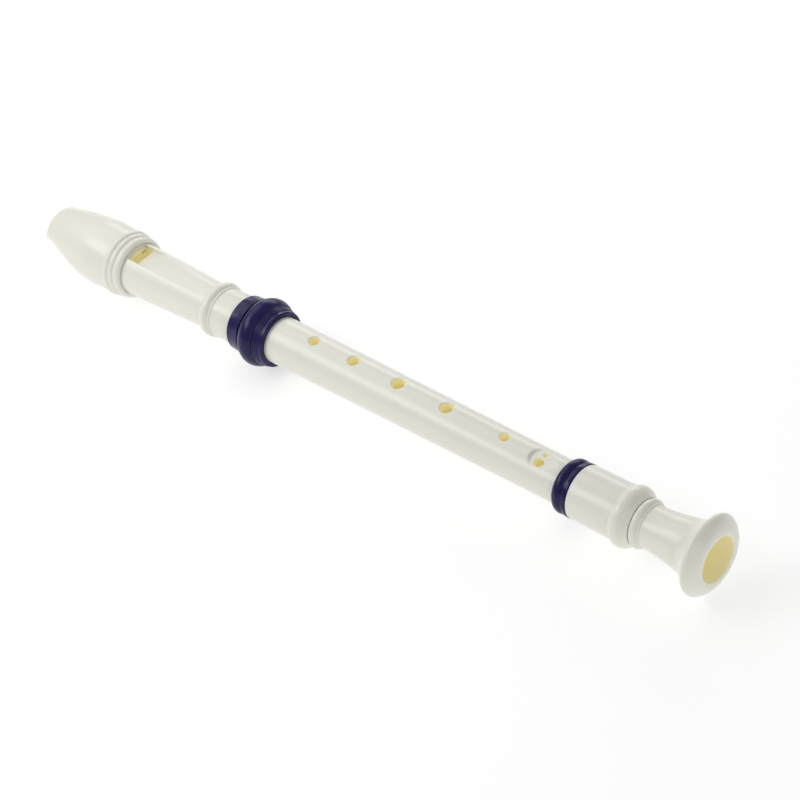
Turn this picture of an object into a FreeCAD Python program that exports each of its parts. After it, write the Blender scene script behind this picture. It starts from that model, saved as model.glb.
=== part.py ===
import FreeCAD, Part
import math
import os
import Sketcher

# A soprano recorder. Each piece is drawn along X from the tip of the beak, about the bore's axis,
# and placed so that the origin is under the middle of the recorder. +X runs from the beak to the
# bell, and +Z points out through the finger holes. Millimetres.

doc = FreeCAD.newDocument("soprano_recorder")
sheet = doc.addObject("Spreadsheet::Sheet", "dims")

# Places on the turned outlines: distance from the tip of the beak, and radius.
STATIONS = {
    "cap_tip": (0.0, 8.9),
    "cap_tip_round": (0.5, 10.0),
    "cap_lip": (1.8, 10.6),
    "cap_swell": (12.0, 12.35),
    "cap_bulb": (27.0, 13.7),
    "cap_fall": (32.0, 13.45),
    "cap_waist": (37.5, 13.05),
    "cap_ring_one": (38.7, 13.65),
    "cap_groove_one": (39.95, 12.85),
    "cap_ring_two": (41.2, 13.2),
    "cap_groove_two": (42.5, 12.4),
    "cap_ring_three": (43.9, 12.75),
    "cap_end": (45.5, 11.9),
    "tube_top": (44.1, 10.75),
    "tube_waist": (88.4, 9.35),
    "tube_cove": (89.0, 9.55),
    "tube_bead_top": (89.4, 10.2),
    "tube_bead": (91.3, 11.2),
    "tube_bead_end": (93.2, 10.4),
    "tube_groove": (93.5, 10.0),
    "tube_ridge": (94.1, 10.5),
    "tube_ridge_end": (94.8, 10.05),
    "collar_top": (105.1, 10.9),
    "collar_edge": (105.4, 11.15),
    "collar_band": (108.3, 11.4),
    "collar_band_end": (111.1, 11.85),
    "collar_groove_top": (111.3, 11.3),
    "collar_groove_end": (111.7, 11.3),
    "collar_bead_top": (111.9, 12.0),
    "collar_bead": (115.9, 13.75),
    "collar_bead_end": (118.9, 12.5),
    "collar_step": (119.1, 11.9),
    "collar_ridge_one": (119.6, 12.05),
    "collar_ridge_one_end": (120.1, 11.75),
    "collar_ridge_two": (120.6, 11.9),
    "collar_ridge_two_end": (121.1, 11.6),
    "collar_ridge_three": (121.6, 11.75),
    "collar_ridge_three_end": (122.1, 11.3),
    "collar_lip": (123.5, 11.3),
    "collar_end": (123.9, 10.9),
    "middle_top": (122.9, 9.32),
    "middle_end": (264.9, 8.37),
    "ring_top": (264.4, 9.3),
    "ring_bead": (266.6, 10.5),
    "ring_groove_top": (268.5, 9.75),
    "ring_groove_end": (269.0, 9.75),
    "ring_band": (269.4, 10.45),
    "ring_lip": (270.8, 10.55),
    "ring_end": (271.3, 10.45),
    "sleeve_top": (271.4, 10.4),
    "sleeve_low": (290.3, 10.5),
    "sleeve_bead_top": (290.7, 10.85),
    "sleeve_bead": (292.8, 11.7),
    "sleeve_bead_end": (296.2, 10.2),
    "sleeve_end": (297.8, 9.3),
    "bell_top": (298.0, 8.9),
    "bell_bead": (299.5, 9.45),
    "bell_bead_end": (300.7, 8.85),
    "bell_fillet": (300.9, 8.5),
    "bell_fine_ring": (301.3, 8.6),
    "bell_fine_ring_end": (301.7, 8.25),
    "bell_neck": (302.0, 8.05),
    "bell_throat": (309.6, 8.68),
    "bell_flare": (316.4, 9.86),
    "bell_sweep": (321.2, 11.45),
    "bell_rim_top": (324.4, 14.6),
    "bell_rim_back": (324.9, 15.25),
    "bell_rim": (325.8, 15.5),
    "bell_rim_front": (326.9, 15.1),
    "bell_face": (328.8, 13.2),
    "bell_mouth": (330.0, 10.4),
    "bell_lip": (330.0, 9.35),
    "bell_lip_round": (329.8, 8.9),
    "bell_lip_end": (329.3, 8.7),
}

# Every other driving dimension.
DIMENSIONS = {
    "cap_front": 7.0,
    "cap_bore": 9.65,
    "cap_rebate": 44.0,
    "cap_rebate_bore": 10.8,
    "scoop_at": 2.5,
    "scoop_drop": -20.0,
    "scoop_radius": 24.0,
    "through": 80.0,
    "block_bore": 6.5,
    "block_radius": 6.45,
    "block_front": 0.3,
    "block_end": 45.6,
    "windway_half": 5.15,
    "windway_floor": 5.9,
    "windway_roof": 7.3,
    "windway_run": 46.0,
    "window_top": 45.9,
    "window_sill": 1.0,
    "labium_at": 49.7,
    "labium_height": 7.1,
    "labium_thin": 0.15,
    "ramp_far": 76.4,
    "ramp_clear": 13.0,
    "flat_end": 61.0,
    "spigot_top": 7.1,
    "spigot_radius": 9.6,
    "head_bore": 6.5,
    "head_step": 105.0,
    "head_sleeve": 9.75,
    "head_end": 122.6,
    "head_socket_at": 103.3,
    "head_socket": 8.05,
    "tube_cylinder": 10.05,
    "collar_bore": 9.8,
    "collar_seat": 122.7,
    "collar_mouth": 9.47,
    "tenon_chamfer": 0.4,
    "top_tenon_at": 103.5,
    "top_tenon": 8.0,
    "top_bore": 6.2,
    "low_tenon_at": 279.0,
    "low_tenon": 7.1,
    "low_bore": 5.2,
    "ring_mouth": 8.52,
    "ring_seat": 265.2,
    "ring_bore": 9.3,
    "sleeve_spigot_at": 265.3,
    "sleeve_spigot": 9.25,
    "sleeve_socket": 7.15,
    "sleeve_socket_end": 279.3,
    "sleeve_bore": 5.3,
    "bell_seat_at": 287.0,
    "bell_seat": 7.4,
    "bell_spigot_at": 287.2,
    "bell_spigot": 7.35,
    "bell_bore_at": 300.0,
    "bell_bore": 5.9,
    "mouth_bore_at": 320.8,
    "overall": 330.0,
    "hole_one_at": 143.2,
    "hole_one": 2.2,
    "hole_two_at": 163.4,
    "hole_two": 2.35,
    "hole_three_at": 185.7,
    "hole_three": 2.65,
    "hole_four_at": 209.2,
    "hole_four": 2.55,
    "hole_five_at": 236.6,
    "hole_five": 1.95,
    "hole_rim": 0.45,
    "hole_depth": 14.0,
    "thumb_at": 137.0,
    "thumb_hole": 2.75,
    "low_pair_at": 254.3,
    "low_pair_large": 1.95,
    "low_pair_small": 0.95,
    "low_pair_large_turn": 19.0,
    "low_pair_small_turn": -9.0,
    "low_seat_at": 254.5,
    "low_seat_radius": 4.9,
    "low_seat_height": 7.6,
    "low_seat_turn": 8.0,
    "low_seat_tilt": -2.5,
    "foot_pair_at": 281.9,
    "foot_pair_large": 1.75,
    "foot_pair_small": 1.1,
    "foot_pair_large_turn": -88.0,
    "foot_pair_small_turn": -112.0,
    "foot_seat_at": 281.9,
    "foot_seat_radius": 4.6,
    "foot_seat_height": 9.75,
    "foot_seat_turn": -99.0,
    "foot_seat_tilt": 0.0,
}


def fill_sheet():
    cells = dict(DIMENSIONS)
    for name, (at, radius) in STATIONS.items():
        cells[f"{name}_at"] = at
        cells[f"{name}_radius"] = radius
    for row, (alias, value) in enumerate(cells.items(), start=1):
        sheet.set(f"A{row}", alias.replace("_", " "))
        sheet.set(f"B{row}", str(value))
        sheet.setAlias(f"B{row}", alias)
    doc.recompute()
    return set(cells)


ALIASES = fill_sheet()
RIM_SAMPLES = 9
RIM_SLACK = 0.02


def bound(text):
    """An expression of the sheet's aliases, with a space round each one."""
    return " ".join(f"dims.{word}" if word in ALIASES else word for word in text.split())


def value(text):
    return float(sheet.evalExpression(bound(text)))


def on(name):
    return (f"{name}_at", f"{name}_radius")


def arc(through, end):
    return (*on(through), *on(end))


# Sketches


def new_sketch(body, name, role):
    sketch = body.newObject("Sketcher::SketchObject", name)
    plane = next(o for o in body.Origin.OriginFeatures if o.Role == role)
    sketch.AttachmentSupport = [(plane, "")]
    sketch.MapMode = "FlatFace"
    return sketch


def fix_point(sketch, number, end, across, up):
    """Holds one point of a sketch at two expressions."""
    for kind, axis, text in (("DistanceX", -2, across), ("DistanceY", -1, up)):
        place = value(text)
        if place == 0:
            sketch.addConstraint(Sketcher.Constraint("PointOnObject", number, end, axis))
            continue
        rule = sketch.addConstraint(Sketcher.Constraint(kind, -1, 1, number, end, place))
        sketch.setExpression(f"Constraints[{rule}]", bound(text))


def outline(sketch, path):
    """A closed outline: each step is the end of a line, or a point on an arc and its end."""
    ends = [step[-2:] for step in path]
    corners = [FreeCAD.Vector(value(across), value(up), 0) for across, up in ends]
    joins = []
    for number, step in enumerate(path):
        start = corners[number - 1]
        end = corners[number]
        if len(step) == 2:
            sketch.addGeometry(Part.LineSegment(start, end), False)
            joins.append((1, 2))
            continue
        through = FreeCAD.Vector(value(step[0]), value(step[1]), 0)
        sketch.addGeometry(Part.Arc(start, through, end), False)
        turns_left = (through - start).cross(end - through).z > 0
        joins.append((1, 2) if turns_left else (2, 1))
    for number, step in enumerate(path):
        after = (number + 1) % len(path)
        tie = Sketcher.Constraint("Coincident", number, joins[number][1], after, joins[after][0])
        sketch.addConstraint(tie)
        fix_point(sketch, number, joins[number][1], *ends[number])
        if len(step) == 4:
            through = FreeCAD.Vector(value(step[0]), value(step[1]), 0)
            mark = sketch.addGeometry(Part.Point(through), True)
            fix_point(sketch, mark, 1, step[0], step[1])
            sketch.addConstraint(Sketcher.Constraint("PointOnObject", mark, 1, number))


def circle(sketch, across, up, radius):
    centre = FreeCAD.Vector(value(across), value(up), 0)
    ring = Part.Circle(centre, FreeCAD.Vector(0, 0, 1), value(radius))
    number = sketch.addGeometry(ring, False)
    fix_point(sketch, number, 3, across, up)
    rule = sketch.addConstraint(Sketcher.Constraint("Radius", number, value(radius)))
    sketch.setExpression(f"Constraints[{rule}]", bound(radius))


# Features


def new_body(label):
    body = doc.addObject("PartDesign::Body", label)
    body.Label = label
    body.setExpression("Placement.Base.x", bound("0 - overall / 2"))
    body.setExpression("Placement.Base.z", bound("bell_rim_radius"))
    return body


def turned(body, path):
    sketch = new_sketch(body, "turned_outline", "XY_Plane")
    outline(sketch, path)
    solid = body.newObject("PartDesign::Revolution", "turning")
    solid.Profile = sketch
    solid.ReferenceAxis = (sketch, ["H_Axis"])
    solid.Angle = 360
    doc.recompute()


def cut(body, sketch, name, length, upwards=False, both_ways=False):
    """A pocket, which has to take something away."""
    before = body.Shape.Volume
    pocket = body.newObject("PartDesign::Pocket", name)
    pocket.Profile = sketch
    pocket.setExpression("Length", bound(length))
    pocket.Midplane = both_ways
    pocket.Reversed = upwards
    doc.recompute()
    if body.Shape.Volume >= before:
        raise RuntimeError(f"{name} cuts nothing")


def cut_scoop(body):
    """The round hollow under the beak."""
    sketch = new_sketch(body, "scoop_side", "XZ_Plane")
    circle(sketch, "scoop_at", "scoop_drop", "scoop_radius")
    cut(body, sketch, "scoop", "through", both_ways=True)


def cut_windway(body):
    """The flat slot that the breath goes through, above the block."""
    sketch = new_sketch(body, "windway_side", "XZ_Plane")
    start = "0 - cap_front"
    roof = ("windway_run", "windway_roof")
    floor = (start, "windway_floor")
    outline(sketch, [floor, (start, "windway_roof"), roof, ("windway_run", "windway_floor")])
    cut(body, sketch, "windway", "2 * windway_half", both_ways=True)


def turned_plan(body, name, turn, height="0", tilt="0", pivot="0"):
    """A plan sketch turned about the bore's axis, raised, and tilted about a station."""
    sketch = new_sketch(body, name, "XY_Plane")
    about_bore = FreeCAD.Rotation(FreeCAD.Vector(1, 0, 0), value(turn))
    lift = about_bore.multVec(FreeCAD.Vector(0, 0, value(height)))
    tilting = FreeCAD.Rotation(FreeCAD.Vector(0, 1, 0), value(tilt))
    centre = FreeCAD.Vector(value(pivot), 0, 0)
    tilted = FreeCAD.Placement(FreeCAD.Vector(0, 0, 0), tilting, centre)
    sketch.AttachmentOffset = FreeCAD.Placement(lift, about_bore).multiply(tilted)
    return sketch


def cut_pair(body, pair, seat):
    """Two holes of a half-tone pair, in their shallow seat."""
    station = f"{seat}_at"
    height = f"{seat}_height"
    floor = turned_plan(body, f"{seat}_plan", f"{seat}_turn", height, f"{seat}_tilt", station)
    circle(floor, station, "0", f"{seat}_radius")
    cut(body, floor, f"{seat}_cut", "hole_depth", upwards=True)
    for size in ("large", "small"):
        plan = turned_plan(body, f"{pair}_{size}_plan", f"{pair}_{size}_turn")
        circle(plan, f"{pair}_at", "0", f"{pair}_{size}")
        cut(body, plan, f"{pair}_{size}_hole", "hole_depth", upwards=True)


def is_outer_rim(edge):
    """True for the edge of a hole where it comes out through the middle tube's tapered wall."""
    points = edge.discretize(RIM_SAMPLES)
    taper = value("( middle_top_radius - middle_end_radius ) / ( middle_end_at - middle_top_at )")
    for point in points:
        wall = value("middle_top_radius") - taper * (point.x - value("middle_top_at"))
        if abs(math.hypot(point.y, point.z) - wall) > RIM_SLACK:
            return False
    stations = [point.x for point in points]
    across = max(stations) - min(stations)
    return value("hole_five") < across < value("4 * hole_three")


def round_hole_rims(body):
    base = body.Tip
    rims = [f"Edge{n}" for n, edge in enumerate(base.Shape.Edges, 1) if is_outer_rim(edge)]
    fillet = body.newObject("PartDesign::Fillet", "hole_rims")
    fillet.Base = (base, rims)
    fillet.setExpression("Radius", bound("hole_rim"))
    doc.recompute()
    print(f"{len(rims)} rim edges rounded")


# Pieces of the head


def beak_cap():
    body = new_body("beak_cap")
    path = [
        ("0", "0"),
        on("cap_tip"),
        arc("cap_tip_round", "cap_lip"),
        arc("cap_swell", "cap_bulb"),
        arc("cap_fall", "cap_waist"),
        arc("cap_ring_one", "cap_groove_one"),
        arc("cap_ring_two", "cap_groove_two"),
        arc("cap_ring_three", "cap_end"),
        ("cap_end_at", "cap_rebate_bore"),
        ("cap_rebate", "cap_rebate_bore"),
        ("cap_rebate", "cap_bore"),
        ("cap_front", "cap_bore"),
        ("cap_front", "0"),
    ]
    turned(body, path)
    hole = new_sketch(body, "block_hole_end", "YZ_Plane")
    circle(hole, "0", "0", "block_bore")
    cut(body, hole, "block_hole", "through", both_ways=True)
    cut_windway(body)
    cut_scoop(body)
    return body


def windway_block():
    body = new_body("windway_block")
    path = [
        ("block_front", "0"),
        ("block_front", "block_radius"),
        ("block_end", "block_radius"),
        ("block_end", "0"),
    ]
    turned(body, path)
    sketch = new_sketch(body, "flat_side", "XZ_Plane")
    start = "0 - cap_front"
    far = "block_end + cap_front"
    top = "block_radius + cap_front"
    outline(sketch, [(start, "windway_floor"), (start, top), (far, top), (far, "windway_floor")])
    cut(body, sketch, "flat_top", "through", both_ways=True)
    cut_scoop(body)
    return body


def cut_window(body):
    """The window, the ramp down to the labium's edge, and the flat under the labium."""
    sketch = new_sketch(body, "window_side", "XZ_Plane")
    under = "labium_height - labium_thin"
    path = [
        ("window_top", "window_sill"),
        ("window_top", "ramp_clear"),
        ("ramp_far", "ramp_clear"),
        ("labium_at", "labium_height"),
        ("labium_at", under),
        ("flat_end", under),
        ("flat_end", "window_sill"),
    ]
    outline(sketch, path)
    cut(body, sketch, "window", "2 * windway_half", both_ways=True)


def head_tube():
    body = new_body("head_tube")
    path = [
        ("spigot_top", "head_bore"),
        ("spigot_top", "spigot_radius"),
        ("tube_top_at", "spigot_radius"),
        on("tube_top"),
        on("tube_waist"),
        arc("tube_cove", "tube_bead_top"),
        arc("tube_bead", "tube_bead_end"),
        on("tube_groove"),
        arc("tube_ridge", "tube_ridge_end"),
        ("head_step", "tube_cylinder"),
        ("head_step", "head_sleeve"),
        ("head_end", "head_sleeve"),
        ("head_end", "head_socket"),
        ("head_socket_at", "head_socket"),
        ("head_socket_at", "head_bore"),
    ]
    turned(body, path)
    cut_windway(body)
    cut_window(body)
    cut_scoop(body)
    return body


def head_collar():
    body = new_body("head_collar")
    path = [
        ("collar_top_at", "collar_bore"),
        on("collar_top"),
        on("collar_edge"),
        arc("collar_band", "collar_band_end"),
        on("collar_groove_top"),
        on("collar_groove_end"),
        on("collar_bead_top"),
        arc("collar_bead", "collar_bead_end"),
        on("collar_step"),
        arc("collar_ridge_one", "collar_ridge_one_end"),
        arc("collar_ridge_two", "collar_ridge_two_end"),
        arc("collar_ridge_three", "collar_ridge_three_end"),
        on("collar_lip"),
        on("collar_end"),
        ("collar_end_at", "collar_mouth"),
        ("collar_seat", "collar_mouth"),
        ("collar_seat", "collar_bore"),
    ]
    turned(body, path)
    return body


# The middle


def middle_tube():
    body = new_body("middle_tube")
    path = [
        ("top_tenon_at", "top_bore"),
        ("top_tenon_at", "top_tenon - tenon_chamfer"),
        ("top_tenon_at + tenon_chamfer", "top_tenon"),
        ("middle_top_at", "top_tenon"),
        on("middle_top"),
        on("middle_end"),
        ("middle_end_at", "low_tenon"),
        ("low_tenon_at - tenon_chamfer", "low_tenon"),
        ("low_tenon_at", "low_tenon - tenon_chamfer"),
        ("low_tenon_at", "low_bore"),
    ]
    turned(body, path)
    front = new_sketch(body, "finger_hole_plan", "XY_Plane")
    for number in ("one", "two", "three", "four", "five"):
        circle(front, f"hole_{number}_at", "0", f"hole_{number}")
    cut(body, front, "finger_holes", "hole_depth", upwards=True)
    back = new_sketch(body, "thumb_hole_plan", "XY_Plane")
    circle(back, "thumb_at", "0", "thumb_hole")
    cut(body, back, "thumb_opening", "hole_depth")
    round_hole_rims(body)
    cut_pair(body, "low_pair", "low_seat")
    return body


# Pieces of the foot


def foot_ring():
    body = new_body("foot_ring")
    path = [
        ("ring_top_at", "ring_mouth"),
        on("ring_top"),
        arc("ring_bead", "ring_groove_top"),
        on("ring_groove_end"),
        on("ring_band"),
        on("ring_lip"),
        on("ring_end"),
        ("ring_end_at", "ring_bore"),
        ("ring_seat", "ring_bore"),
        ("ring_seat", "ring_mouth"),
    ]
    turned(body, path)
    return body


def foot_sleeve():
    body = new_body("foot_sleeve")
    path = [
        ("sleeve_spigot_at", "sleeve_socket"),
        ("sleeve_spigot_at", "sleeve_spigot"),
        ("sleeve_top_at", "sleeve_spigot"),
        on("sleeve_top"),
        on("sleeve_low"),
        on("sleeve_bead_top"),
        arc("sleeve_bead", "sleeve_bead_end"),
        on("sleeve_end"),
        ("sleeve_end_at", "bell_seat"),
        ("bell_seat_at", "bell_seat"),
        ("bell_seat_at", "sleeve_bore"),
        ("sleeve_socket_end", "sleeve_bore"),
        ("sleeve_socket_end", "sleeve_socket"),
    ]
    turned(body, path)
    cut_pair(body, "foot_pair", "foot_seat")
    return body


def bell():
    body = new_body("bell")
    path = [
        ("bell_spigot_at", "sleeve_bore"),
        ("bell_spigot_at", "bell_spigot"),
        ("bell_top_at", "bell_spigot"),
        on("bell_top"),
        arc("bell_bead", "bell_bead_end"),
        on("bell_fillet"),
        arc("bell_fine_ring", "bell_fine_ring_end"),
        on("bell_neck"),
        arc("bell_throat", "bell_flare"),
        arc("bell_sweep", "bell_rim_top"),
        on("bell_rim_back"),
        arc("bell_rim", "bell_rim_front"),
        arc("bell_face", "bell_mouth"),
        on("bell_lip"),
        arc("bell_lip_round", "bell_lip_end"),
        ("mouth_bore_at", "bell_lip_end_radius"),
        ("bell_bore_at", "bell_bore"),
    ]
    turned(body, path)
    return body


# Build, check and write


def write(bodies):
    for item in doc.Objects:
        if "Invalid" in item.State or "Error" in item.State:
            raise RuntimeError(f"{item.Name} failed: {item.State}")
    for body in bodies:
        if body.Shape.isNull() or not body.Shape.isValid() or len(body.Shape.Solids) != 1:
            raise RuntimeError(f"{body.Label} is not one valid solid")
    os.makedirs("parts", exist_ok=True)
    for body in bodies:
        print(f"{body.Label}: {body.Shape.Volume:.0f} mm3")
        body.Shape.exportStep(f"parts/{body.Label}.step")


pieces = [
    beak_cap(),
    windway_block(),
    head_tube(),
    head_collar(),
    middle_tube(),
    foot_ring(),
    foot_sleeve(),
    bell(),
]
doc.recompute()
write(pieces)
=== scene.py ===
import math

import bmesh
import bpy
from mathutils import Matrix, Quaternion, Vector

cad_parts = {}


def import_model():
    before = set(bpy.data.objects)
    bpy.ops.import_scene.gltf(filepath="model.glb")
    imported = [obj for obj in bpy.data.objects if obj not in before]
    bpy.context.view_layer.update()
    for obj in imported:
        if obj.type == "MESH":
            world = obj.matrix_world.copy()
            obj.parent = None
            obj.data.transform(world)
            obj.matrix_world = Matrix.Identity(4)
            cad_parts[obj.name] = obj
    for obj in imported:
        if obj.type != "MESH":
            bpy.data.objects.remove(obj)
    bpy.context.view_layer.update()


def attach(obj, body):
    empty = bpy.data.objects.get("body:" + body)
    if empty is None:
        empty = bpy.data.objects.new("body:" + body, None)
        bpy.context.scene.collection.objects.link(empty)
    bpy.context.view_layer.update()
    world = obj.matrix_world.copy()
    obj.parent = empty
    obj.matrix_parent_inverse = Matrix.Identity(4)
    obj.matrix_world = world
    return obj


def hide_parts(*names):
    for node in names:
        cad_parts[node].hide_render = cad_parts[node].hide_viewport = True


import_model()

# Stations are millimetres from the tip of the beak, as on the drawing. The recorder's middle is at
# the frame's origin, and its axis runs at half the height of the bell.
MM = 0.001
HALF_LENGTH = 165.0
AXIS_HEIGHT = 15.5 * MM

# A turned piece has this many points round it. Its moulded corners are rounded over CORNER
# millimetres, where they turn by more than BEND.
SECTORS = 180
CORNER = 0.16
BEND = math.radians(24)
CUT_EDGE = 0.13 * MM
CUT_ANGLE = math.radians(40)
SHARP = math.radians(33)
UP = math.pi / 2


# ---------------------------------------------------------------- camera, floor and lights
AIM_STATION = 183.2
AIM_SIDE = 1.2 * MM
AIM_DROP = 0.75 * MM
DISTANCE = 0.970
AZIMUTH = 48.9
ELEVATION = 42.1
ROLL = 10.8
LENS = 118.5


def add_camera():
    """The photo's camera: it looks down on the recorder from its bell end, and is rolled."""
    data = bpy.data.cameras.new("camera")
    data.lens = LENS
    data.sensor_width = 36.0
    data.clip_start = 0.05
    camera = bpy.data.objects.new("camera", data)
    bpy.context.collection.objects.link(camera)
    turn = math.radians(AZIMUTH)
    rise = math.radians(ELEVATION)
    back = Vector((math.sin(turn) * math.cos(rise), -math.cos(turn) * math.cos(rise), math.sin(rise)))
    roll = Quaternion((0, 0, 1), -math.radians(ROLL))
    facing = (-back).to_track_quat("-Z", "Y") @ roll
    aim = Vector(((AIM_STATION - HALF_LENGTH) * MM, 0, AXIS_HEIGHT))
    aim += facing @ Vector((AIM_SIDE, -AIM_DROP, 0))
    camera.location = aim + back * DISTANCE
    camera.rotation_mode = "QUATERNION"
    camera.rotation_quaternion = facing
    bpy.context.scene.camera = camera


def add_floor():
    """The pale ground, which gives off a little light so that it renders nearly white."""
    bpy.ops.mesh.primitive_plane_add(size=8, location=(0, 0, 0))
    floor = bpy.context.object
    floor.name = "floor"
    material = bpy.data.materials.new("pale_floor")
    material.use_nodes = True
    shader = material.node_tree.nodes["Principled BSDF"]
    shader.inputs["Base Color"].default_value = (0.5, 0.5, 0.5, 1)
    shader.inputs["Roughness"].default_value = 0.9
    shader.inputs["Specular IOR Level"].default_value = 0.1
    shader.inputs["Emission Color"].default_value = (1, 1, 1, 1)
    shader.inputs["Emission Strength"].default_value = 0.6
    floor.data.materials.append(material)


def add_area(name, place, aim, size, power):
    """A soft rectangular light of power watts at place, pointed at aim."""
    data = bpy.data.lights.new(name, "AREA")
    data.shape = "RECTANGLE"
    data.size, data.size_y = size
    data.energy = power
    light = bpy.data.objects.new(name, data)
    light.location = place
    light.rotation_euler = (Vector(aim) - Vector(place)).to_track_quat("-Z", "Y").to_euler()
    bpy.context.collection.objects.link(light)


def add_lights():
    """An even white surround, a large light overhead, two strips for the highlights, and a fill."""
    studio = bpy.data.worlds.new("studio")
    studio.use_nodes = True
    background = studio.node_tree.nodes["Background"]
    background.inputs["Color"].default_value = (1, 1, 1, 1)
    background.inputs["Strength"].default_value = 0.42
    bpy.context.scene.world = studio
    bpy.context.scene.view_settings.view_transform = "Standard"
    add_area("overhead", (-0.55, 0.1, 0.65), (-0.1, 0, 0), (0.6, 0.6), 1.5)
    add_area("key_strip", (-0.46, -0.40, 0.56), (-0.05, 0, 0), (0.6, 0.3), 2.2)
    add_area("back_strip", (-0.45, 0.9, 0.4), (-0.1, 0, 0), (0.9, 0.4), 2.6)
    add_area("end_fill", (1.1, -0.35, 0.4), (0.1, 0, 0), (0.6, 0.6), 1.5)


# ---------------------------------------------------------------- materials
def add_node(tree, kind, settings=None, **links):
    """A shader node; links names its inputs, each given a value or another node's output."""
    node = tree.nodes.new(kind)
    for key, setting in (settings or {}).items():
        setattr(node, key, setting)
    for key, source in links.items():
        socket = node.inputs[int(key[1:])] if key[1:].isdigit() else node.inputs[key.replace("_", " ")]
        if isinstance(source, bpy.types.NodeSocket):
            tree.links.new(source, socket)
        else:
            socket.default_value = source
    return node


def ramp(tree, value, low, high, to_low=0.0, to_high=1.0):
    """A smooth step of a value from to_low at low to to_high at high."""
    settings = {"interpolation_type": "SMOOTHSTEP"}
    node = add_node(tree, "ShaderNodeMapRange", settings, Value=value, From_Min=low, From_Max=high)
    node.inputs["To Min"].default_value = to_low
    node.inputs["To Max"].default_value = to_high
    return node.outputs["Result"]


def maths(tree, operation, first, second=0.0):
    """The output of one sum on two numbers or node outputs."""
    return add_node(tree, "ShaderNodeMath", {"operation": operation}, i0=first, i1=second).outputs[0]


def vector_maths(tree, operation, first, second=(0, 0, 0)):
    """A vector maths node; its answer is its first output, or "Value" for a plain number."""
    return add_node(tree, "ShaderNodeVectorMath", {"operation": operation}, i0=first, i1=second)


def mixed(tree, share, first, second):
    """The colour share of the way from first to second, each a colour or a node's output."""
    node = add_node(tree, "ShaderNodeMix", {"data_type": "RGBA"}, i0=share)
    for number, colour in ((6, first), (7, second)):
        if isinstance(colour, bpy.types.NodeSocket):
            tree.links.new(colour, node.inputs[number])
        else:
            node.inputs[number].default_value = (*colour, 1)
    return node.outputs[2]


def noise(tree, coordinates, scale, detail):
    """Smooth random values about 1 / scale metres across."""
    node = add_node(tree, "ShaderNodeTexNoise", None, Vector=coordinates, Scale=scale, Detail=detail)
    return node.outputs["Fac"]


# Inside the bore and the holes, a warmer colour and a little emission are painted in for the light
# that comes through the plastic wall: a painted glow.
# Flat ends that meet at a seam don't get it, and neither does the hollow under the beak.
GLOW = 0.16
END_FACES = (122.75, 265.1, 297.9)
SCOOP_END = 30
FADE = 4 * MM
INSIDE_REACH = 8.3 * MM
OUTSIDE_REACH = 9.3 * MM


def past_scoop(tree, coordinates):
    """1 beyond the hollow under the beak, where no outside surface is near the axis."""
    station = add_node(tree, "ShaderNodeSeparateXYZ", None, Vector=coordinates).outputs["X"]
    start = (SCOOP_END - HALF_LENGTH) * MM
    return ramp(tree, station, start, start + FADE)


def inward(tree, coordinates, facing):
    """1 where a surface near the axis faces it, as in the bore and the holes, and 0 outside: where the
    painted glow goes.
    """
    centred = vector_maths(tree, "SUBTRACT", coordinates, (0, 0, AXIS_HEIGHT))
    across = vector_maths(tree, "MULTIPLY", centred.outputs[0], (0, 1, 1))
    length = vector_maths(tree, "LENGTH", across.outputs[0])
    spoke = vector_maths(tree, "NORMALIZE", across.outputs[0])
    dot = vector_maths(tree, "DOT_PRODUCT", spoke.outputs[0], facing)
    faces_in = ramp(tree, dot.outputs["Value"], 0.62, -0.05)
    within = ramp(tree, length.outputs["Value"], OUTSIDE_REACH, INSIDE_REACH)
    inside = maths(tree, "MULTIPLY", faces_in, within)
    station = add_node(tree, "ShaderNodeSeparateXYZ", None, Vector=coordinates).outputs["X"]
    for end_face in END_FACES:
        offset = maths(tree, "SUBTRACT", station, (end_face - HALF_LENGTH) * MM)
        away = maths(tree, "ABSOLUTE", offset)
        inside = maths(tree, "MULTIPLY", inside, ramp(tree, away, 0.4 * MM, 0.6 * MM))
    return maths(tree, "MULTIPLY", inside, past_scoop(tree, coordinates))


FLOW_SCALE = 120.0
SMEAR_SCALE = 260.0
PEEL_SCALE = 1500.0
WAVE_SCALE = 190.0
STRETCH = (0.6, 1, 1)
PLASTIC_IOR = 1.53
COAT_SHARE = 0.25
COAT_ROUGHNESS = 0.18
SCATTER_RADIUS = (1.0, 0.85, 0.45)
SCATTER_DEPTH = 1.5 * MM


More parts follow.
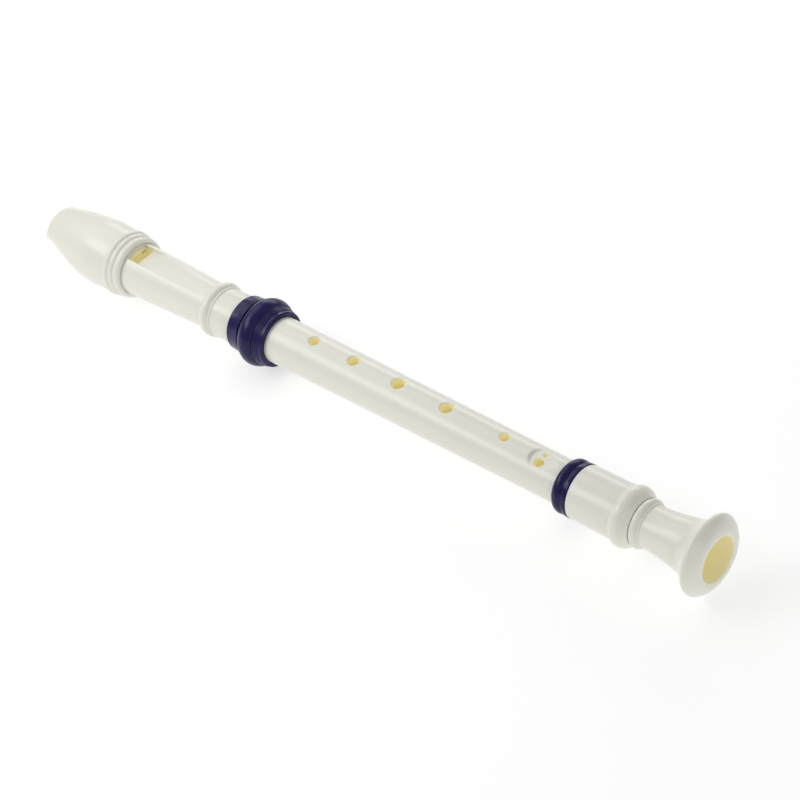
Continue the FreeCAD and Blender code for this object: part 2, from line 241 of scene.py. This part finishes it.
def plastic(name, colour, painted_glow_colour, mottle, roughness, scatter, shine=0.5, enclosed=False):
    """Moulded gloss plastic: faint flow mottling, fine orange peel, and handling marks.
    deep is a painted glow: a warmer colour, and a little emission, inside where light comes through
    the wall; an enclosed piece has it all over, past the hollow in the beak."""
    material = bpy.data.materials.new(name)
    material.use_nodes = True
    tree = material.node_tree
    shader = tree.nodes["Principled BSDF"]
    where = tree.nodes.new("ShaderNodeTexCoord")
    place = where.outputs["Object"]
    stretched = vector_maths(tree, "MULTIPLY", place, STRETCH).outputs[0]
    flow = ramp(tree, noise(tree, stretched, FLOW_SCALE, 3.0), 0.3, 0.7)
    outside = mixed(tree, flow, colour, mottle)
    # Painted glow: the inside gets a warmer colour and gives off a little light, standing in for light
    # that comes through the plastic wall.
    if painted_glow_colour:
        if enclosed:
            hollow = past_scoop(tree, place)
        else:
            hollow = inward(tree, place, where.outputs["Normal"])
        outside = mixed(tree, hollow, outside, painted_glow_colour)
        shader.inputs["Emission Color"].default_value = (*painted_glow_colour, 1)
        tree.links.new(maths(tree, "MULTIPLY", hollow, GLOW), shader.inputs["Emission Strength"])
    tree.links.new(outside, shader.inputs["Base Color"])
    smears = ramp(tree, noise(tree, stretched, SMEAR_SCALE, 4.0), 0.3, 0.8, 0.97, 1.05)
    rough = maths(tree, "MULTIPLY", smears, roughness)
    tree.links.new(rough, shader.inputs["Roughness"])
    peel = noise(tree, place, PEEL_SCALE, 2.0)
    waves = noise(tree, stretched, WAVE_SCALE, 1.0)
    fine = add_node(tree, "ShaderNodeBump", None, Strength=0.05, Distance=0.04 * MM, Height=peel)
    broad = add_node(tree, "ShaderNodeBump", None, Strength=0.04, Distance=0.1 * MM, Height=waves)
    tree.links.new(fine.outputs["Normal"], broad.inputs["Normal"])
    tree.links.new(broad.outputs["Normal"], shader.inputs["Normal"])
    shader.inputs["IOR"].default_value = PLASTIC_IOR
    shader.inputs["Specular IOR Level"].default_value = shine
    shader.inputs["Coat Weight"].default_value = COAT_SHARE * shine
    shader.inputs["Coat Roughness"].default_value = COAT_ROUGHNESS
    shader.inputs["Subsurface Weight"].default_value = scatter
    shader.inputs["Subsurface Radius"].default_value = SCATTER_RADIUS
    shader.inputs["Subsurface Scale"].default_value = SCATTER_DEPTH
    return material


# ---------------------------------------------------------------- turned shapes
def arc_points(start, through, end, count=14):
    """Points on the circle through three (station, radius) points, after the first."""
    (ax, ay), (bx, by), (cx, cy) = start, through, end
    d = 2 * (ax * (by - cy) + bx * (cy - ay) + cx * (ay - by))
    a2, b2, c2 = ax * ax + ay * ay, bx * bx + by * by, cx * cx + cy * cy
    ux = (a2 * (by - cy) + b2 * (cy - ay) + c2 * (ay - by)) / d
    uy = (a2 * (cx - bx) + b2 * (ax - cx) + c2 * (bx - ax)) / d
    radius = math.hypot(ax - ux, ay - uy)
    first = math.atan2(ay - uy, ax - ux)
    middle = (math.atan2(by - uy, bx - ux) - first) % math.tau
    sweep = (math.atan2(cy - uy, cx - ux) - first) % math.tau
    if middle > sweep:
        sweep -= math.tau
    steps = [first + sweep * n / count for n in range(1, count + 1)]
    return [(ux + radius * math.cos(s), uy + radius * math.sin(s)) for s in steps]


def traced(path):
    """The points of a closed outline of (station, radius) corners and (through, end) arcs."""
    points = []
    for step in path:
        if isinstance(step[0], tuple):
            points += arc_points(points[-1], *step)
        else:
            points.append(step)
    return points


def eased(points, reach=CORNER):
    """The outline with its sharp corners rounded off, as a mould leaves them."""
    result = []
    for number, point in enumerate(points):
        here = Vector(point)
        before = Vector(points[number - 1]) - here
        after = Vector(points[(number + 1) % len(points)]) - here
        if min(before.length, after.length) < 1e-6:
            continue
        if math.pi - before.angle(after) < BEND:
            result.append(point)
            continue
        cut = min(reach, before.length * 0.45, after.length * 0.45)
        start = here + before.normalized() * cut
        end = here + after.normalized() * cut
        for share in (0, 0.25, 0.5, 0.75, 1):
            bend = start.lerp(here, share).lerp(here.lerp(end, share), share)
            result.append(tuple(bend))
    return result


def world(station, radius, angle):
    """A point of the recorder: angle 0 is +Y and 90 degrees is +Z."""
    x = (station - HALF_LENGTH) * MM
    return (x, radius * MM * math.cos(angle), AXIS_HEIGHT + radius * MM * math.sin(angle))


def mesh_object(name, points, faces):
    """A linked object, with doubled points merged and its faces turned outwards."""
    mesh = bpy.data.meshes.new(name)
    mesh.from_pydata(points, [], faces)
    work = bmesh.new()
    work.from_mesh(mesh)
    bmesh.ops.remove_doubles(work, verts=work.verts, dist=1e-7)
    bmesh.ops.recalc_face_normals(work, faces=work.faces)
    work.to_mesh(mesh)
    work.free()
    piece = bpy.data.objects.new(name, mesh)
    bpy.context.collection.objects.link(piece)
    return piece


def smooth(piece):
    """Smooth shading, but for edges sharper than SHARP."""
    piece.data.shade_smooth()
    piece.data.set_sharp_from_angle(angle=SHARP)


def turned(name, outline, skin=None, openings=()):
    """A ring or tube turned from a closed outline. skin gives the radius where a seat is let in.
    Each opening is a round hole through the wall."""
    skin = skin or (lambda station, radius, angle: radius)
    angles = [math.tau * number / SECTORS for number in range(SECTORS)]
    points = [world(s, skin(s, r, a), a) for s, r in outline for a in angles]
    gone = set()
    faces = []
    for opening in openings:
        faces += pierce(opening, outline, skin, points, gone)
    for row in range(len(outline)):
        below = (row + 1) % len(outline)
        for column in range(SECTORS):
            if (row, column) in gone:
                continue
            beside = (column + 1) % SECTORS
            corners = (row, column), (row, beside), (below, beside), (below, column)
            faces.append([r * SECTORS + c for r, c in corners])
    return mesh_object(name, points, faces)


def border(rows, columns):
    """The grid points round a patch of the wall, in order."""
    low_row, high_row = rows
    low, high = columns
    top = [(low_row, c) for c in range(low, high)]
    right = [(r, high) for r in range(low_row, high_row)]
    bottom = [(high_row, c) for c in range(high, low, -1)]
    left = [(r, low) for r in range(high_row, low_row, -1)]
    return top + right + bottom + left


RIM_STEPS = 5
PATCH_GAP = 0.12
OUTER_SHARES = (0.75, 0.5, 0.25, 0.0)
INNER_SHARES = (0.0, 0.35, 0.7)


def pierce(opening, outline, skin, points, gone):
    """Opens a round hole between the outer wall's grid and the bore's, with a rounded rim.
    Adds its points, notes the wall's faces that are gone, and returns the new faces."""
    station, angle, radius, rim, outer, inner = opening
    reach = radius + rim + PATCH_GAP
    wall = outline[outer[0]][1]
    outer_rows = range(outer[0], outer[1] + 1)
    low_row = max(n for n in outer_rows if outline[n][0] <= station - reach)
    high_row = min(n for n in outer_rows if outline[n][0] >= station + reach)
    step = math.tau / SECTORS
    low = math.floor((angle - reach / wall) / step)
    high = math.ceil((angle + reach / wall) / step)
    loop = border((low_row, high_row), (low, high))
    shift = outer[0] + inner[1]
    for row in range(low_row, high_row):
        gone.update((row, column % SECTORS) for column in range(low, high))
        gone.update((shift - row - 1, column % SECTORS) for column in range(low, high))
    bearings = []
    for row, column in loop:
        along = outline[row][0] - station
        lateral = wall * (column * step - angle)
        bearings.append(math.atan2(lateral, along))

    def ring(which, spread, share):
        """A ring of points between the hole's edge (share 0) and the patch's border (share 1)."""
        made = []
        for (row, column), bearing in zip(loop, bearings):
            at = station + spread * math.cos(bearing)
            rows = outer if which == "outer" else inner
            turn = math.asin(spread * math.sin(bearing) / radius_at(outline, rows, at))
            far = outline[row][0]
            here_at = at + (far - at) * share
            here_turn = turn + (column * step - angle - turn) * share
            length = radius_at(outline, rows, here_at)
            if which == "outer":
                length = skin(here_at, length, angle + here_turn)
            made.append(world(here_at, length, angle + here_turn))
        return made

    outward = Vector((0, math.cos(angle), math.sin(angle)))
    rings = [ring("outer", radius + rim, share) for share in OUTER_SHARES]
    edge = rings[-1]
    for number in range(1, RIM_STEPS + 1):
        swing = math.pi / 2 * number / RIM_STEPS
        inset = rim * math.sin(swing)
        depth = rim * (1 - math.cos(swing)) * MM
        made = []
        for bearing, place in zip(bearings, edge):
            sideways = Vector((0, -math.sin(angle), math.cos(angle))) * math.sin(bearing)
            toward = Vector((math.cos(bearing), 0, 0)) + sideways
            made.append(tuple(Vector(place) - toward * inset * MM - outward * depth))
        rings.append(made)
    rings += [ring("inner", radius, share) for share in INNER_SHARES]
    first = [row * SECTORS + column % SECTORS for row, column in loop]
    last = [(shift - row) * SECTORS + column % SECTORS for row, column in loop]
    chain = [first]
    for made in rings:
        start = len(points)
        points.extend(made)
        chain.append(list(range(start, start + len(made))))
    chain.append(last)
    faces = []
    for upper, lower in zip(chain, chain[1:]):
        for n in range(len(loop)):
            m = (n + 1) % len(loop)
            faces.append([upper[n], upper[m], lower[m], lower[n]])
    return faces


def radius_at(outline, rows, station):
    """The outline's radius at a station, between two of its rows."""
    (x0, r0), (x1, r1) = outline[rows[0]], outline[rows[1]]
    return r0 + (r1 - r0) * (station - x0) / (x1 - x0)


SEAT_SPAN = 1.2
SEAT_EDGE = 1.0


def seat_in(base, angle_of_seat, station, reach, height, slope):
    """A wall with a shallow flat seat let into it round a pair of holes.
    Radii under base belong to other walls. The seat's edge fades over SEAT_EDGE millimetres."""

    def skin(at, radius, angle):
        if radius < base:
            return radius
        turn = math.remainder(angle - angle_of_seat, math.tau)
        if abs(turn) > SEAT_SPAN:
            return radius
        away = math.hypot(at - station, radius * math.sin(turn))
        seat = (height + (at - station) * slope) / math.cos(turn)
        share = min(1, max(0, (reach + SEAT_EDGE / 2 - away) / SEAT_EDGE))
        share = share * share * (3 - 2 * share)
        return radius + (min(radius, seat) - radius) * share

    return skin


def keep_modified(piece):
    """Makes the modified shape the piece's own mesh."""
    bpy.context.view_layer.update()
    evaluated = piece.evaluated_get(bpy.context.evaluated_depsgraph_get())
    shaped = bpy.data.meshes.new_from_object(evaluated)
    piece.modifiers.clear()
    piece.data = shaped


def cut_away(piece, *cutters):
    """Takes the cutters' shapes out of a piece for good."""
    for cutter in cutters:
        modifier = piece.modifiers.new("cut", "BOOLEAN")
        modifier.operation = "DIFFERENCE"
        modifier.solver = "EXACT"
        modifier.object = cutter
        keep_modified(piece)
    for cutter in cutters:
        bpy.data.objects.remove(cutter)


def soften_cuts(piece):
    """Takes the knife edge off what was cut, as a mould leaves it."""
    modifier = piece.modifiers.new("softened", "BEVEL")
    modifier.width = CUT_EDGE
    modifier.segments = 2
    modifier.limit_method = "ANGLE"
    modifier.angle_limit = CUT_ANGLE
    keep_modified(piece)


def prism(name, side, half_width):
    """A solid twice half_width wide. Its side view is a list of (station, height) from the axis."""
    points = []
    for y in (-half_width, half_width):
        points += [((s - HALF_LENGTH) * MM, y * MM, AXIS_HEIGHT + h * MM) for s, h in side]
    count = len(side)
    faces = [list(range(count)), list(range(count, 2 * count))]
    for n in range(count):
        m = (n + 1) % count
        faces.append([n, m, m + count, n + count])
    return mesh_object(name, points, faces)


SCOOP_FACETS = 160
SCOOP_STATION = 2.5
SCOOP_HEIGHT = -20.0
SCOOP_RADIUS = 24.0
WIDE = 20
BEFORE_TIP = -7


def scoop():
    """The round hollow under the beak."""
    side = []
    for number in range(SCOOP_FACETS):
        turn = math.tau * number / SCOOP_FACETS
        station = SCOOP_STATION + SCOOP_RADIUS * math.cos(turn)
        side.append((station, SCOOP_HEIGHT + SCOOP_RADIUS * math.sin(turn)))
    return prism("scoop_cutter", side, WIDE)


WINDWAY_HALF = 5.15
WINDWAY_FLOOR = 5.9
WINDWAY_ROOF = 7.3
WINDWAY_END = 46


def windway():
    """The flat channel that the breath runs along."""
    near = [(BEFORE_TIP, WINDWAY_FLOOR), (BEFORE_TIP, WINDWAY_ROOF)]
    far = [(WINDWAY_END, WINDWAY_ROOF), (WINDWAY_END, WINDWAY_FLOOR)]
    return prism("windway_cutter", near + far, WINDWAY_HALF)


WINDOW_START = 45.9
WINDOW_INSIDE_END = 61
LIP_STATION = 49.7
LIP_TOP = 7.1
LIP_UNDERSIDE = 6.95
RAMP_END = 76.4
ABOVE_WALL = 13
IN_BORE = 1


def window():
    """The window with the ramp beyond it, whose thin lip splits the breath."""
    side = [
        (WINDOW_START, IN_BORE),
        (WINDOW_START, ABOVE_WALL),
        (RAMP_END, ABOVE_WALL),
        (LIP_STATION, LIP_TOP),
        (LIP_STATION, LIP_UNDERSIDE),
        (WINDOW_INSIDE_END, LIP_UNDERSIDE),
        (WINDOW_INSIDE_END, IN_BORE),
    ]
    return prism("window_cutter", side, WINDWAY_HALF)


def fit(piece, node, body, material):
    """Puts a finished piece in the place of a CAD node."""
    piece.data.materials.clear()
    piece.data.materials.append(material)
    smooth(piece)
    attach(piece, body)
    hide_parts(node)


# ---------------------------------------------------------------- the pieces
def beak_cap():
    path = [
        (0.0, 6.5),
        (0.0, 8.9),
        ((0.5, 10.0), (1.8, 10.6)),
        ((12.0, 12.35), (27.0, 13.7)),
        ((32.0, 13.45), (37.5, 13.05)),
        ((38.7, 13.65), (39.95, 12.85)),
        ((41.2, 13.2), (42.5, 12.4)),
        ((43.9, 12.75), (45.5, 11.9)),
        (45.5, 10.8),
        (44.0, 10.8),
        (44.0, 9.65),
        (7.0, 9.65),
        (7.0, 6.5),
    ]
    cap = turned("beak_cap_shell", eased(traced(path)))
    cut_away(cap, windway(), scoop())
    soften_cuts(cap)
    return cap


def windway_block():
    path = [(0.3, 0.0), (0.3, 6.45), (45.6, 6.45), (45.6, 0.0)]
    block = turned("windway_block_plug", eased(path))
    above, beyond = 14, 53
    side = [(BEFORE_TIP, WINDWAY_FLOOR), (BEFORE_TIP, above), (beyond, above), (beyond, WINDWAY_FLOOR)]
    cut_away(block, prism("top_cutter", side, WIDE), scoop())
    return block


def head_tube():
    path = [
        (7.1, 6.5),
        (7.1, 9.6),
        (44.1, 9.6),
        (44.1, 10.75),
        (88.4, 9.35),
        ((89.0, 9.55), (89.4, 10.2)),
        ((91.3, 11.2), (93.2, 10.4)),
        (93.5, 10.0),
        ((94.1, 10.5), (94.8, 10.05)),
        (105.0, 10.05),
        (105.0, 9.75),
        (122.6, 9.75),
        (122.6, 8.05),
        (103.3, 8.05),
        (103.3, 6.5),
    ]
    tube = turned("head_tube_shell", eased(traced(path)))
    cut_away(tube, windway(), window(), scoop())
    soften_cuts(tube)
    return tube


def head_collar():
    path = [
        (105.1, 9.8),
        (105.1, 10.9),
        (105.4, 11.15),
        ((108.3, 11.4), (111.1, 11.85)),
        (111.3, 11.3),
        (111.7, 11.3),
        (111.9, 12.0),
        ((115.9, 13.75), (118.9, 12.5)),
        (119.1, 11.9),
        ((119.6, 12.05), (120.1, 11.75)),
        ((120.6, 11.9), (121.1, 11.6)),
        ((121.6, 11.75), (122.1, 11.3)),
        (123.5, 11.3),
        (123.9, 10.9),
        (123.9, 9.47),
        (122.7, 9.47),
        (122.7, 9.8),
    ]
    return turned("head_collar_ring", eased(traced(path), 0.1))


FINE_STEP = 0.42
COARSE_STEP = 3.0


def stations(start, end, centres, reach):
    """Stations along a wall, close together where the holes are."""
    places = [start]
    while places[-1] < end - 0.05:
        near = any(abs(places[-1] - centre) < reach for centre in centres)
        follows = places[-1] + (FINE_STEP if near else COARSE_STEP)
        ahead = [c - reach + 0.01 for c in centres if places[-1] < c - reach + 0.01 < follows]
        places.append(min([follows, end] + ahead))
    return places


FINGER_HOLES = ((143.2, 2.2), (163.4, 2.35), (185.7, 2.65), (209.2, 2.55), (236.6, 1.95))
LOW_PAIR = 254.3
THUMB_HOLE = 137.0
MIDDLE_START = 103.5
MIDDLE_END = 279.0
MIDDLE_BORE = 6.2
MIDDLE_TAPER = 1.0


def middle_bore(station):
    """The middle tube's inside radius, which narrows towards the foot."""
    return MIDDLE_BORE - MIDDLE_TAPER * (station - MIDDLE_START) / (MIDDLE_END - MIDDLE_START)


def middle_tube():
    start, end = (122.9, 9.32), (264.9, 8.37)
    slope = (end[1] - start[1]) / (end[0] - start[0])
    centres = [THUMB_HOLE] + [at for at, radius in FINGER_HOLES] + [LOW_PAIR]
    places = stations(start[0] + 0.15, end[0] - 0.15, centres, reach=5.4)
    top = [(MIDDLE_START, 7.6), (103.9, 8.0), (122.9, 8.0), (122.9, 9.17)]
    outer = [(at, start[1] + (at - start[0]) * slope) for at in places]
    low = [(264.9, 8.22), (264.9, 7.1), (278.6, 7.1), (MIDDLE_END, 6.7)]
    low += [(MIDDLE_END, middle_bore(MIDDLE_END))]
    inner = [(at, middle_bore(at)) for at in reversed(places)]
    outline = top + outer + low + inner + [(MIDDLE_START, middle_bore(MIDDLE_START))]
    outer_rows = (len(top), len(top) + len(outer) - 1)
    inner_start = len(top) + len(outer) + len(low)
    inner_rows = (inner_start, inner_start + len(inner) - 1)
    openings = [(at, UP, radius, 0.5) for at, radius in FINGER_HOLES]
    openings += [(THUMB_HOLE, -UP, 2.75, 0.5)]
    openings += [(LOW_PAIR, UP + math.radians(19), 1.95, 0.25)]
    openings += [(LOW_PAIR, UP - math.radians(9), 0.95, 0.18)]
    pierced = [(*opening, outer_rows, inner_rows) for opening in openings]
    skin = seat_in(8.3, UP + math.radians(8), 254.5, 4.9, 7.6, math.tan(math.radians(2.5)))
    return turned("middle_tube_shell", outline, skin, pierced)


def foot_ring():
    path = [
        (264.4, 8.52),
        (264.4, 9.3),
        ((266.6, 10.5), (268.5, 9.75)),
        (269.0, 9.75),
        (269.4, 10.45),
        (270.8, 10.55),
        (271.3, 10.45),
        (271.3, 9.3),
        (265.2, 9.3),
        (265.2, 8.52),
    ]
    return turned("foot_ring_band", eased(traced(path), 0.1))


FOOT_BORE = 5.3
FOOT_SOCKET = 7.15
SOCKET_END = 279.3
BORE_END = 287.0


def foot_sleeve():
    centre = 281.9
    start, end = (271.4, 10.4), (290.3, 10.5)
    slope = (end[1] - start[1]) / (end[0] - start[0])
    places = stations(271.6, 290.1, [centre], reach=5.6)
    bead = arc_points((290.7, 10.85), (292.8, 11.7), (296.2, 10.2))
    top = [(265.3, FOOT_SOCKET), (265.3, 9.25), (start[0], 9.25), (start[0], 10.25)]
    outer = [(at, start[1] + (at - start[0]) * slope) for at in places]
    low = [end, (290.7, 10.85), *bead, (297.6, 9.45), (297.8, 9.3), (297.8, 7.4)]
    low += [(BORE_END, 7.4), (BORE_END, FOOT_BORE)]
    bored = [at for at in places if SOCKET_END + 0.1 < at < BORE_END - 0.1]
    inner = [(at, FOOT_BORE) for at in reversed(bored)]
    openings_from = places.index(bored[0])
    tail = [(SOCKET_END, FOOT_BORE), (SOCKET_END, FOOT_SOCKET)]
    outline = top + outer + low + inner + tail
    first = len(top) + openings_from
    last = first + len(inner) - 1
    inner_start = len(top) + len(outer) + len(low)
    inner_rows = (inner_start, inner_start + len(inner) - 1)
    turn = UP - math.radians(99)
    openings = [(centre, UP - math.radians(88), 1.75, 0.25)]
    openings += [(centre, UP - math.radians(112), 1.1, 0.2)]
    pierced = [(*opening, (first, last), inner_rows) for opening in openings]
    skin = seat_in(10.2, turn, centre, 4.6, 9.75, 0.0)
    return turned("foot_sleeve_shell", outline, skin, pierced)


def bell():
    path = [
        (287.2, 5.3),
        (287.2, 7.35),
        (298.0, 7.35),
        (298.0, 8.9),
        ((299.5, 9.45), (300.7, 8.85)),
        (300.9, 8.5),
        ((301.3, 8.6), (301.7, 8.25)),
        (302.0, 8.05),
        ((309.6, 8.68), (316.4, 9.86)),
        ((321.2, 11.45), (324.4, 14.6)),
        (324.9, 15.25),
        ((325.8, 15.5), (326.9, 15.1)),
        ((328.8, 13.2), (330.0, 10.4)),
        (330.0, 9.35),
        ((329.8, 8.9), (329.3, 8.7)),
        (320.8, 8.7),
        (300.0, 5.9),
    ]
    return turned("bell_flare", eased(traced(path)))


add_camera()
add_floor()
add_lights()
# The inside colours below are a painted glow, for light coming through the plastic wall; the navy has
# none.
IVORY = plastic(
    "ivory",
    colour=(0.80, 0.795, 0.71),
    painted_glow_colour=(0.87, 0.80, 0.46),
    mottle=(0.79, 0.785, 0.695),
    roughness=0.31,
    scatter=0.22,
)
BLOCK = plastic(
    "block_ivory",
    colour=(0.80, 0.77, 0.66),
    painted_glow_colour=(0.86, 0.80, 0.50),
    mottle=(0.77, 0.735, 0.62),
    roughness=0.34,
    scatter=0.22,
    enclosed=True,
)
NAVY = plastic(
    "navy",
    colour=(0.0094, 0.0068, 0.062),
    painted_glow_colour=None,
    mottle=(0.013, 0.0095, 0.078),
    roughness=0.24,
    scatter=0.0,
    shine=0.2,
)
fit(beak_cap(), "beak_cap", "head", IVORY)
fit(windway_block(), "windway_block", "head", BLOCK)
fit(head_tube(), "head_tube", "head", IVORY)
fit(head_collar(), "head_collar", "head_ring", NAVY)
fit(middle_tube(), "middle_tube", "middle", IVORY)
fit(foot_ring(), "foot_ring", "foot_band", NAVY)
fit(foot_sleeve(), "foot_sleeve", "foot", IVORY)
fit(bell(), "bell", "foot", IVORY)
